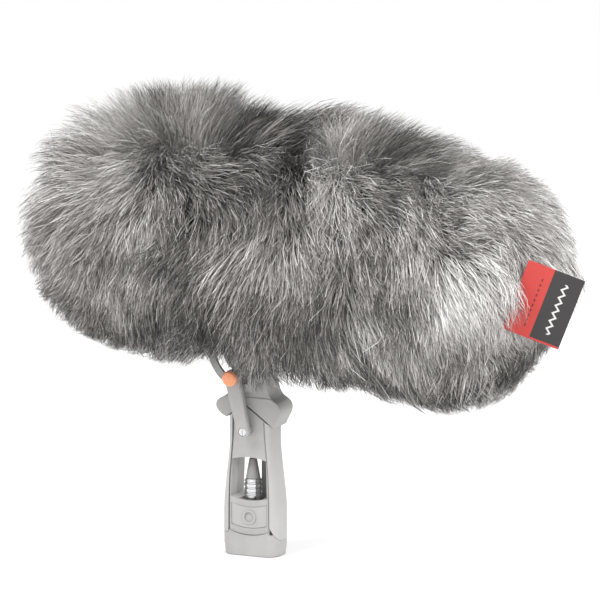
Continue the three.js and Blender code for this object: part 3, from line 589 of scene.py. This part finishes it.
def clear_of_zip(path):
    """Which strands leave the zip's slider and pull their way."""
    kept = np.ones(len(path), bool)
    low = np.minimum(path[:, :-1], path[:, 1:])
    high = np.maximum(path[:, :-1], path[:, 1:])
    near = ((low < ZIP_HIGH) & (high > ZIP_LOW)).all(2).any(1)
    share = np.linspace(0, 1, 12)[:, None]    # steps along each stretch
    fine = path[near, :-1, None] * (1 - share) + path[near, 1:, None] * share
    kept[near] = ~((fine > ZIP_LOW) & (fine < ZIP_HIGH)).all(3).any((1, 2))
    return kept


# ---- the tag's place ----

tag_corners = np.array([corner.co[:] for corner in frame["nodes"]["woven_tag"].data.vertices])


def tag_frame():
    """The tag's middle, its directions across, through and along, and its width and height."""
    middle = tag_corners.mean(0)
    along, across, through = np.linalg.svd(tag_corners - middle)[2]
    along = along * np.sign(along[2])
    across = across * np.sign(across[0])
    through = through * -np.sign(through[1])
    size = [np.ptp((tag_corners - middle) @ way) for way in (across, along)]
    return middle, across, through, along, size


TAG_MIDDLE, TAG_ACROSS, TAG_THROUGH, TAG_ALONG, TAG_SIZE = tag_frame()


def clear_of_tag(path, source):
    """Which strands leave the tag's cloth whole. A few lie over the edge that is sewn in."""
    p = path - TAG_MIDDLE
    u = p @ TAG_ACROSS / TAG_SIZE[0]
    v = p @ TAG_ALONG / TAG_SIZE[1]
    w = p @ TAG_THROUGH
    half, touching = 0.54, 0.0035  # a little more than half the tag, and metres through it
    near = (np.abs(u) < half) & (np.abs(v) < half)
    front = near & (w > 0.0015) & (w < 0.06)
    inside = near & (np.abs(w) <= touching)
    crosses = inside.any(1) | ((near & (w > 0)).any(1) & (near & (w < 0)).any(1))
    covered = np.where(front, u + 0.5, -1).max(1)
    wisp = source.uniform(0, 1, len(path)) < 0.85 - 0.85 * smooth_step(covered, 0.2, 0.55)
    return ~crosses & ((covered < 0) | wisp)


# ---- hair ----

# linear lightness of the strands' materials
TONES = [0.025, 0.055, 0.10, 0.17, 0.26, 0.37, 0.49, 0.62, 0.76]
FUR_PIECES = 7
CLUMPS = 880                   # in each piece
STRANDS = 25                   # in each clump
STRAND_WIDTH = 0.00044
BODY_TONE = 5.8                # a strand's usual place in TONES
UNDERCOAT_SHARE = 0.20         # of the strands are dark all along
DARK_TIP_SHARE = 0.8
DARK_NEAR_TIP_SHARE = 0.35


def fur_materials():
    """A plain material for each of the tones, the darker the warmer."""
    materials = []
    for number, tone in enumerate(TONES):
        warm = 0.06 * (1 - tone)
        colour = (tone * (1 + warm), tone * (1 - warm / 4), tone * (1 - 1.4 * warm))
        material, shader = new_material(f"hair_{number}", colour, 0.62)
        shader.inputs["Specular IOR Level"].default_value = 0.2
        materials.append(material)
    return materials


HAIR = fur_materials()


def strand_tones(source, clump_tone, crown):
    """The tone of each strand's stretches, as places in TONES."""
    count = len(clump_tone)
    body = BODY_TONE + 0.8 * clump_tone + source.normal(0, 0.8, count)
    dark = source.uniform(0, 1, count) < UNDERCOAT_SHARE
    body[dark] -= 2.8
    dark_tip = source.uniform(0, 1, count) < DARK_TIP_SHARE
    tip = np.where(dark_tip, body - 3.8, body - 0.8)
    dark_near_tip = source.uniform(0, 1, count) < DARK_NEAR_TIP_SHARE
    near_tip = np.where(dark_near_tip, body - 1.6, body + 0.3)
    painted_root_shade = 1 - 0.8 * crown         # painted shade: roots are darkened as if deep in the pile, less so where they show at the parting
    stretches = np.stack([body - 2.4 * painted_root_shade, body - 1.0 * painted_root_shade, body + 0.1, near_tip, tip], 1)
    return np.clip(np.rint(stretches), 0, len(TONES) - 1).astype(int)


def ribbons(name, path, normal, tones, source):
    """Strands as flat tapering ribbons, one mesh."""
    count = len(path)
    way = unit(np.gradient(path, axis=1))
    side = unit(np.cross(way, np.broadcast_to(normal[:, None], path.shape)))
    face = np.cross(side, way)
    twist = source.normal(0, 0.5, count)[:, None, None]
    side = side * np.cos(twist) + face * np.sin(twist)
    width = STRAND_WIDTH * source.uniform(0.7, 1.3, count)[:, None, None]
    taper = np.array([0.6, 0.9, 1.0, 0.95, 0.7])[None, :, None]
    last = len(STRETCHES)                      # how many points each edge has, short of the tip
    half = side[:, :last] * width * taper / 2
    left, right = path[:, :last] - half, path[:, :last] + half
    points = np.concatenate([left, right, path[:, last:]], 1)
    first = np.arange(count)[:, None] * (2 * last + 1)
    quads = [first + [k, k + 1, k + last + 1, k + last] for k in range(last - 1)]
    tip = first + [last - 1, 2 * last, 2 * last - 1]
    corners = np.concatenate([*quads, tip], 1).reshape(-1)
    sizes = np.tile([4] * (last - 1) + [3], count)
    mesh = bpy.data.meshes.new(name)
    mesh.vertices.add(points.shape[0] * points.shape[1])
    mesh.vertices.foreach_set("co", to_row(points.reshape(-1, 3)).ravel())
    mesh.loops.add(len(corners))
    mesh.loops.foreach_set("vertex_index", corners)
    mesh.polygons.add(len(sizes))
    mesh.polygons.foreach_set("loop_start", np.concatenate([[0], np.cumsum(sizes)[:-1]]))
    mesh.polygons.foreach_set("use_smooth", np.ones(len(sizes), bool))
    for material in HAIR:
        mesh.materials.append(material)
    mesh.polygons.foreach_set("material_index", tones.ravel())
    mesh.update(calc_edges=True)
    obj = bpy.data.objects.new(name, mesh)
    bpy.context.collection.objects.link(obj)
    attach(obj, "windscreen")
    return obj


def make_fur():
    """The pile, in several pieces, each spread over the whole cover."""
    pieces = []
    for number in range(FUR_PIECES):
        source = np.random.default_rng(100 + number)
        path, normal, tone, crown = grow(source, CLUMPS, STRANDS)
        kept = clear_of_mouth(path) & clear_of_zip(path)
        kept &= clear_of_tag(to_row(path), source)
        path, normal = path[kept], normal[kept]
        tones = strand_tones(source, tone[kept], crown[kept])
        pieces.append(ribbons(f"fur_pile_{number + 1}", path, normal, tones, source))
    return pieces


# ---- the knitted fabric that carries the hair ----

def knit_material():
    """Dark knitted cloth."""
    material, shader = new_material("fur_backing", (0.035, 0.032, 0.03), 0.9)
    stitch = noise(material, 1400, 2)
    material.node_tree.links.new(
        ramp(material, stitch.outputs["Fac"], (0.02, 0.018, 0.017), (0.07, 0.065, 0.06)),
        shader.inputs["Base Color"])
    bump(material, shader, stitch.outputs["Fac"], 0.0004)
    return material


def make_backing():
    """A fitted tube of fabric with closed ends and a hole for the head of the grip."""
    around_steps, along_steps = 72, 120
    rings = np.linspace(WAY[0], WAY[-1], along_steps)
    turns = np.linspace(-math.pi, math.pi, around_steps, endpoint=False)
    grid = bmesh.new()
    rows = []
    for way in rings[1:-1]:
        point, _, _ = on_skin(np.full(around_steps, way), turns)
        rows.append([grid.verts.new(p) for p in point])
    for row, following in zip(rows, rows[1:]):
        for k in range(around_steps):
            after = (k + 1) % around_steps
            corners = [row[k], following[k], following[after], row[after]]
            middle = sum((c.co for c in corners), Vector()) / 4
            below = middle.z < CAGE_MIDDLE[2]
            reach = math.hypot(middle.x / MOUTH_HALF[0], middle.y / MOUTH_HALF[1])
            if not (below and reach < 1):
                grid.faces.new(corners)
    for row, order in ((rows[0], 1), (rows[-1], -1)):
        grid.faces.new(row[::order])
    loose = [v for v in grid.verts if not v.link_faces]
    bmesh.ops.delete(grid, geom=loose, context="VERTS")
    bmesh.ops.recalc_face_normals(grid, faces=grid.faces)
    area = sum(face.calc_area() for face in grid.faces)
    mesh = bpy.data.meshes.new("fur_backing")
    grid.to_mesh(mesh)
    grid.free()
    placed = Matrix([(*TO_ROW[:, k], PIVOT[k]) for k in range(3)] + [(0, 0, 0, 1)])
    mesh.transform(placed)
    mesh.polygons.foreach_set("use_smooth", [True] * len(mesh.polygons))
    mesh.materials.append(knit_material())
    obj = bpy.data.objects.new("fur_backing", mesh)
    bpy.context.collection.objects.link(obj)
    thick = obj.modifiers.new("cloth", "SOLIDIFY")
    thick.thickness = 0.0012
    thick.offset = 1
    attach(obj, "windscreen")


# ---- tag ----

def tag_material():
    """Woven red and charcoal, with a pale zigzag, a row of dashes and painted shade between the
    threads.
    """
    material, shader = new_material("tag_weave", (0.6, 0.05, 0.04), 0.62)
    nodes, links = material.node_tree.nodes, material.node_tree.links
    flat = nodes.new("ShaderNodeUVMap")
    flat.uv_map = "flat"
    split = nodes.new("ShaderNodeSeparateXYZ")
    links.new(flat.outputs["UV"], split.inputs["Vector"])

    def sums(operation, a, b=0.0):
        """That operation on two values."""
        node = nodes.new("ShaderNodeMath")
        node.operation = operation
        for place, value in enumerate((a, b)):
            if isinstance(value, bpy.types.NodeSocket):
                links.new(value, node.inputs[place])
            else:
                node.inputs[place].default_value = value
        return node.outputs["Value"]

    def mixed(factor, a, b):
        """Colour a where the factor is 0, b where it is 1."""
        node = nodes.new("ShaderNodeMix")
        node.data_type = "RGBA"
        links.new(factor, node.inputs["Factor"])
        for place, value in ((6, a), (7, b)):      # the sockets of the colours A and B
            if isinstance(value, bpy.types.NodeSocket):
                links.new(value, node.inputs[place])
            else:
                node.inputs[place].default_value = (*value, 1)
        return node.outputs[2]

    across, along = split.outputs["X"], split.outputs["Y"]
    red, charcoal, pale = (0.44, 0.032, 0.026), (0.022, 0.019, 0.020), (0.56, 0.54, 0.53)
    dark_red, thread_shade_colour = (0.12, 0.01, 0.01), (0.01, 0.01, 0.01)
    dark_half = sums("GREATER_THAN", across, 0.47)
    ground = mixed(dark_half, red, charcoal)
    wave = sums("PINGPONG", sums("MULTIPLY", along, 9.0), 0.5)
    middle = sums("ADD", sums("MULTIPLY", wave, 0.16), 0.685)
    zigzag = sums("LESS_THAN", sums("ABSOLUTE", sums("SUBTRACT", across, middle)), 0.022)
    ends = sums("LESS_THAN", sums("ABSOLUTE", sums("SUBTRACT", along, 0.5)), 0.36)
    ground = mixed(sums("MULTIPLY", zigzag, ends), ground, pale)
    dash = sums("LESS_THAN", sums("FRACT", sums("MULTIPLY", along, 14.0)), 0.55)
    line = sums("LESS_THAN", sums("ABSOLUTE", sums("SUBTRACT", across, 0.33)), 0.014)
    dashes = sums("MULTIPLY", sums("MULTIPLY", dash, line), ends)
    ground = mixed(dashes, ground, dark_red)
    hem = sums("LESS_THAN", along, 0.03)
    ground = mixed(hem, ground, red)
    threads = sums("MULTIPLY",
                   sums("SINE", sums("MULTIPLY", across, 2 * math.pi * 75)),
                   sums("SINE", sums("MULTIPLY", along, 2 * math.pi * 95)))
    # painted shade: the cloth is darkened a little between the threads
    painted_thread_shade = spread(material, threads, 0.0, 0.16)
    ground = mixed(painted_thread_shade, ground, thread_shade_colour)
    links.new(ground, shader.inputs["Base Color"])
    bump(material, shader, threads, 0.00012)
    return material


def make_tag():
    """A woven label, sewn in along one side, that curls a little."""
    wide, tall = TAG_SIZE
    columns, rows = 24, 28
    curl_height, curl_middle, lift_height = 0.0022, 0.0016, 0.004
    middle, across, through, along = (Vector(v) for v in (TAG_MIDDLE, TAG_ACROSS, TAG_THROUGH,
                                                         TAG_ALONG))
    cloth = bmesh.new()
    flat = cloth.loops.layers.uv.new("flat")
    points = []
    for j in range(rows + 1):
        v = j / rows
        row = []
        for i in range(columns + 1):
            u = i / columns
            curl = curl_height * math.sin(u * 2.6 + 0.6) * math.cos(3 * (v - 0.4)) - curl_middle
            lift = lift_height * max(0, u - 0.6) ** 1.5 * (0.5 - v)
            place = across * ((u - 0.5) * wide) + along * ((v - 0.5) * tall)
            row.append(cloth.verts.new(middle + place + through * (curl + lift)))
        points.append(row)
    for j in range(rows):
        for i in range(columns):
            corners = [(i, j), (i + 1, j), (i + 1, j + 1), (i, j + 1)]
            face = cloth.faces.new([points[b][a] for a, b in corners])
            face.smooth = True
            for loop, (a, b) in zip(face.loops, corners):
                loop[flat].uv = (a / columns, b / rows)
    mesh = bpy.data.meshes.new("tag_cloth")
    cloth.to_mesh(mesh)
    cloth.free()
    mesh.materials.append(tag_material())
    obj = bpy.data.objects.new("tag_cloth", mesh)
    bpy.context.collection.objects.link(obj)
    fold = obj.modifiers.new("two layers", "SOLIDIFY")
    fold.thickness = 0.0009
    fold.offset = 0
    rim = obj.modifiers.new("edge", "BEVEL")
    rim.width = 0.0002
    rim.segments = 2
    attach(obj, "windscreen")
    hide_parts("woven_tag")


make_backing()
fur = make_fur()
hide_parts("fur_cover")
make_tag()


# ---- floor and light ----

def make_floor():
    """A wide white floor just under the base."""
    material, _ = new_material("floor", (0.86, 0.86, 0.86), 0.9)
    bpy.ops.mesh.primitive_circle_add(vertices=96, radius=30, fill_type="NGON",
                                      location=(0, 0, CAD_BOX[0].z - 0.0005))
    floor = bpy.context.object
    floor.name = "floor"
    floor.data.materials.append(material)


def area_light(name, place, aim, power, size):
    """A round lamp of that power in watts and size in metres."""
    data = bpy.data.lights.new(name, "AREA")
    data.energy = power
    data.shape = "DISK"
    data.size = size
    light = bpy.data.objects.new(name, data)
    bpy.context.collection.objects.link(light)
    light.location = place
    light.rotation_euler = (Vector(aim) - Vector(place)).to_track_quat("-Z", "Y").to_euler()


def make_light():
    """An even white studio with three soft lamps."""
    world = bpy.data.worlds.new("studio")
    bpy.context.scene.world = world
    world.use_nodes = True
    world.node_tree.nodes["Background"].inputs["Color"].default_value = (1, 1, 1, 1)
    world.node_tree.nodes["Background"].inputs["Strength"].default_value = 1.12
    aim = (0.03, 0, 0.24)
    area_light("key", (-0.7, -1.3, 1.7), aim, 26, 0.9)
    area_light("side", (1.5, -0.7, 1.0), aim, 16, 0.8)
    area_light("rim", (0.4, 1.5, 1.3), aim, 12, 0.8)


make_floor()
make_light()
bpy.context.scene.view_settings.view_transform = "Standard"
